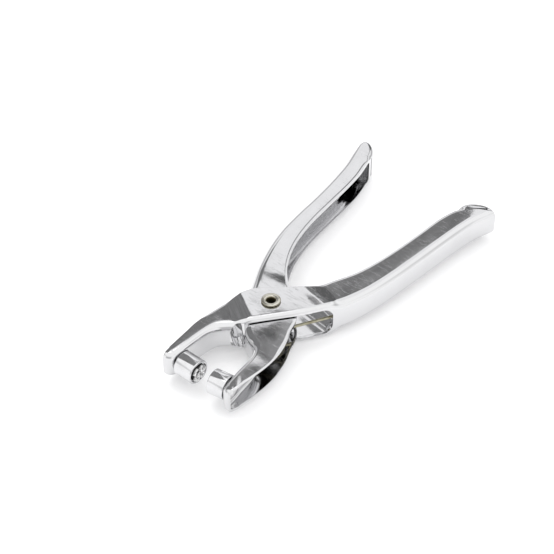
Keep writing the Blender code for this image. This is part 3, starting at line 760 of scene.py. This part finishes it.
def build_tool():
    """Make every fine piece in the place of its CAD node; each rides on its body, save the spring."""
    outer = lever("outer_lever_fine", OUTER_SECTIONS, OUTER_ENDS, OUTER_TRIM, OUTER_TIP)
    inner = lever("inner_lever_fine", INNER_SECTIONS, INNER_ENDS, INNER_TRIM, INNER_TIP)
    cut(outer, window_cutter(), rod("rivet_cutter", SLEEVE[0], -5, 2 * MIDDLE + 5),
        rod("setter_hole", DIE_BORE, -LENGTH[SETTER] - 4, -LENGTH[SETTER] + 3, die_place(SETTER)))
    cut(inner, rod("sleeve_cutter", SLEEVE[1] + GAP, -5, 2 * MIDDLE + 5),
        rod("anvil_hole", DIE_BORE, -LENGTH[ANVIL] - 4, -LENGTH[ANVIL] + 3, die_place(ANVIL)))
    for made, plate in ((outer, "outer_plate"), (inner, "inner_plate")):
        polish(made)
        made.data.materials.clear()
        made.data.materials.append(chrome(plate))

    inside_low, inside_high = EAR_BOTTOM + SHEET + GAP, EAR_TOP - SHEET - GAP
    pin_steel = pin_metal("pin_steel")
    barrel_plate = turned_metal("barrel_plate")
    zinc = zinc_plate("zinc_plate")
    fine = {
        "outer_lever": (outer, OUTER),
        "inner_lever": (inner, INNER),
        "setter_barrel": (barrel("setter_barrel_fine", SETTER, barrel_plate), OUTER),
        "anvil_barrel": (barrel("anvil_barrel_fine", ANVIL, barrel_plate), INNER),
        "setter_pin": (setter_pin(pin_steel), OUTER),
        "anvil_pin": (anvil_pin(pin_steel), INNER),
        "pivot_rivet": (pivot_rivet(rivet_metal("rivet_nickel")), OUTER),
        "pivot_sleeve": (ring("pivot_sleeve_fine", *SLEEVE, inside_low, inside_high, zinc), OUTER),
        "upper_washer": (ring("upper_washer_fine", *WASHER, inside_high - WASHER_THICK,
                              inside_high, zinc), OUTER),
        "lower_washer": (ring("lower_washer_fine", *WASHER, inside_low,
                              inside_low + WASHER_THICK, zinc), OUTER),
    }
    for node, (piece, body) in fine.items():
        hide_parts(node)
        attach(piece, body)
    spring = return_spring(wire_metal("spring_wire"))
    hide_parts("return_spring")
    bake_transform(spring)


# ---------------------------------------------------------------- studio

AZIMUTH = math.radians(37.5)
ELEVATION = math.radians(42.0)
BACK = Vector((math.sin(AZIMUTH) * math.cos(ELEVATION), -math.cos(AZIMUTH) * math.cos(ELEVATION),
               math.sin(ELEVATION)))
RIGHT = Vector((math.cos(AZIMUTH), math.sin(AZIMUTH), 0.0))
UP = BACK.cross(RIGHT)
DISTANCE = 0.6
SENSOR = 36.0
LENS = 95.5
# Where the rivet's top stands from the middle of the view, in shares of its width
RIVET_ACROSS, RIVET_UP = -0.01083, -0.04152
AIM_DROP = 0.35              # the point aimed at, below the top of the rivet


def camera():
    """Camera above the jaws' side, the rivet a little left of and below the middle."""
    data = bpy.data.cameras.new("camera")
    data.lens = LENS
    data.sensor_width = SENSOR
    data.clip_start = 0.01
    made = bpy.data.objects.new("camera", data)
    bpy.context.collection.objects.link(made)
    rivet = Vector((0.0, 0.0, (RIVET_TOP - AIM_DROP) * MM))
    to_rivet = -BACK + (RIVET_ACROSS * RIGHT + RIVET_UP * UP) * SENSOR / LENS
    made.matrix_world = (Matrix.Translation(rivet - DISTANCE * to_rivet)
                         @ Matrix((RIGHT, UP, BACK)).transposed().to_4x4())
    bpy.context.scene.camera = made


def card(name, corners, brightness, mottle):
    """Flat, unevenly lit card that only shows in the tool's reflections."""
    shape = bmesh.new()
    shape.faces.new([shape.verts.new([value / MM for value in corner]) for corner in corners])
    material = bpy.data.materials.new(name)
    material.use_nodes = True
    tree = material.node_tree
    tree.nodes.remove(tree.nodes["Principled BSDF"])
    glow = tree.nodes.new("ShaderNodeEmission")
    glow.inputs["Color"].default_value = (brightness, brightness, brightness * 1.01, 1.0)
    place = tree.nodes.new("ShaderNodeTexCoord")
    cloth = tree.nodes.new("ShaderNodeTexNoise")
    cloth.inputs["Scale"].default_value = 70.0
    cloth.inputs["Detail"].default_value = 4.0
    spread = tree.nodes.new("ShaderNodeMapRange")
    spread.inputs["From Min"].default_value = 0.3
    spread.inputs["From Max"].default_value = 0.7
    spread.inputs["To Min"].default_value = 1.0 - mottle
    spread.inputs["To Max"].default_value = 1.0 + mottle
    tree.links.new(place.outputs["Object"], cloth.inputs["Vector"])
    tree.links.new(cloth.outputs["Fac"], spread.inputs["Value"])
    tree.links.new(spread.outputs["Result"], glow.inputs["Strength"])
    tree.links.new(glow.outputs["Emission"], tree.nodes["Material Output"].inputs["Surface"])
    made = add_mesh(name, shape, material)
    made.visible_camera = False
    made.visible_diffuse = False
    made.visible_shadow = False


def key_lamp(place, target):
    """Soft square area lamp at place, pointing at target."""
    data = bpy.data.lights.new("key", "AREA")
    data.energy = 1.2
    data.size = 0.45
    made = bpy.data.objects.new("key", data)
    bpy.context.collection.objects.link(made)
    back = (Vector(place) - Vector(target)).normalized()
    right = Vector((0, 0, 1)).cross(back).normalized()
    made.matrix_world = (Matrix.Translation(place)
                         @ Matrix((right, back.cross(right), back)).transposed().to_4x4())


def ceiling_place(across, down, height, top):
    """Place on a ceiling, height above the level top, whose reflection in that level
    stands across and down from the middle of the view by these shares of the distance."""
    camera_place = bpy.context.scene.camera.matrix_world.translation
    ray = -BACK + across * RIGHT - down * UP
    reach = (top - height - camera_place.z) / ray.z
    found = camera_place + ray * reach
    return Vector((found.x, found.y, top + height))


# Cards on a ceiling: name, brightness, mottle, height, and where each corner's reflection stands
# across and down from the middle of the view, in shares of the camera's distance
CARDS = [
    ("dark_right", 0.25, 0.35, 0.35, [
        (0.0347, 0.0238), (0.0327, 0.0177), (0.0245, 0.0068), (0.030, -0.020),
        (0.050, -0.045), (0.080, -0.080), (0.12, -0.080), (0.1345, -0.0475),
        (0.137, -0.043), (0.134, -0.030), (0.090, 0.002), (0.043, 0.032)]),
    ("dark_slope", 0.15, 0.35, 0.35, [
        (0.080, -0.080), (0.12, -0.080), (0.30, -0.14), (0.42, -0.34),
        (0.22, -0.34), (0.10, -0.12)]),
    ("dark_left", 0.25, 0.35, 0.35, [
        (-0.025, 0.012), (-0.0204, 0.015), (-0.0224, 0.0218), (-0.0265, 0.025),
        (-0.025, 0.0306), (-0.060, 0.16), (-0.10, 0.30), (-0.24, 0.30),
        (-0.80, 0.12), (-0.80, -0.10), (-0.24, -0.12), (-0.018, -0.06)]),
    ("grey_front", 0.31, 0.35, 0.35, [
        (-0.028, 0.030), (0.024, 0.030), (0.024, 0.14), (-0.028, 0.14)]),
    ("dark_root", 0.13, 0.35, 0.34, [
        (-0.0177, 0.029), (0.001, 0.029), (0.001, 0.043), (-0.0177, 0.043)]),
    ("ceiling", 1.17, 0.04, 0.37, [
        (-0.26, -0.22), (0.26, -0.22), (0.26, 0.26), (-0.26, 0.26)]),
]

# The sky's grey band: rise of a direction and tone there, white beyond both ends
BAND_ENDS = 0.04, 0.60
BAND_TONES = (0.10, 0.45), (0.38, 0.55)
# White stretches in the band: direction, and the closeness to it where each starts and is full
OPENINGS = ((1.0, 0.0, 0.0), 0.70, 0.90), ((-0.47, -0.88, 0.0), 0.88, 0.95)


def sky(world):
    """White surroundings with a grey band low down, open to the right and to the front left."""
    white = (1.0, 1.0, 1.0, 1.0)
    tree = world.node_tree
    place = tree.nodes.new("ShaderNodeTexCoord").outputs["Generated"]
    split = tree.nodes.new("ShaderNodeSeparateXYZ")
    ramp = tree.nodes.new("ShaderNodeValToRGB")
    either = tree.nodes.new("ShaderNodeMath")
    either.operation = "MAXIMUM"
    for socket, (direction, starts, full) in zip(either.inputs, OPENINGS):
        closeness = tree.nodes.new("ShaderNodeVectorMath")
        closeness.operation = "DOT_PRODUCT"
        closeness.inputs[1].default_value = direction
        opening = tree.nodes.new("ShaderNodeMapRange")
        opening.inputs["From Min"].default_value = starts
        opening.inputs["From Max"].default_value = full
        tree.links.new(place, closeness.inputs[0])
        tree.links.new(closeness.outputs["Value"], opening.inputs["Value"])
        tree.links.new(opening.outputs["Result"], socket)
    blend = tree.nodes.new("ShaderNodeMix")
    blend.data_type = "RGBA"
    blend.inputs[7].default_value = white
    tree.links.new(place, split.inputs["Vector"])
    tree.links.new(split.outputs["Z"], ramp.inputs["Fac"])
    tree.links.new(either.outputs["Value"], blend.inputs["Factor"])
    tree.links.new(ramp.outputs["Color"], blend.inputs[6])
    tree.links.new(blend.outputs[2], tree.nodes["Background"].inputs["Color"])
    stops = ramp.color_ramp.elements
    for stop, height in zip(stops, BAND_ENDS):
        stop.position = height
        stop.color = white
    for height, tone in BAND_TONES:
        stops.new(height).color = (tone, tone, tone * 1.01, 1.0)


def studio():
    """White floor and surroundings, one soft key, and dark cards for the chrome to mirror."""
    scene = bpy.context.scene
    scene.view_settings.view_transform = "Standard"
    world = bpy.data.worlds.new("studio")
    scene.world = world
    world.use_nodes = True
    world.node_tree.nodes["Background"].inputs["Strength"].default_value = 1.3
    sky(world)
    half, thick = 1600.0, 20.0
    floor = add_mesh("floor", prism([(-half, -half), (half, -half), (half, half), (-half, half)],
                                    -thick, 0.0))
    paper = Nodes("floor_paper")
    paper.shader.inputs["Roughness"].default_value = 0.6
    paper.shader.inputs["Specular IOR Level"].default_value = 0.2
    paper.shader.inputs["Emission Color"].default_value = (1.0, 1.0, 1.0, 1.0)
    paper.shader.inputs["Emission Strength"].default_value = 0.20
    paper.link(paper.mix(paper.noise(6.0, 2.0, 0.5), (0.86, 0.86, 0.865), (0.84, 0.84, 0.845)),
               paper.shader.inputs["Base Color"])
    floor.data.materials.append(paper.material)
    key_lamp((-0.25, 0.15, 0.75), (0.0, 0.03, 0.0))

    top = (EAR_TOP - 1.0) * MM       # between the top of the ears and that of the handles
    for name, brightness, mottle, height, shares in CARDS:
        corners = [ceiling_place(across, down, height, top) for across, down in shares]
        card(name, corners, brightness, mottle)


camera()
build_tool()
studio()
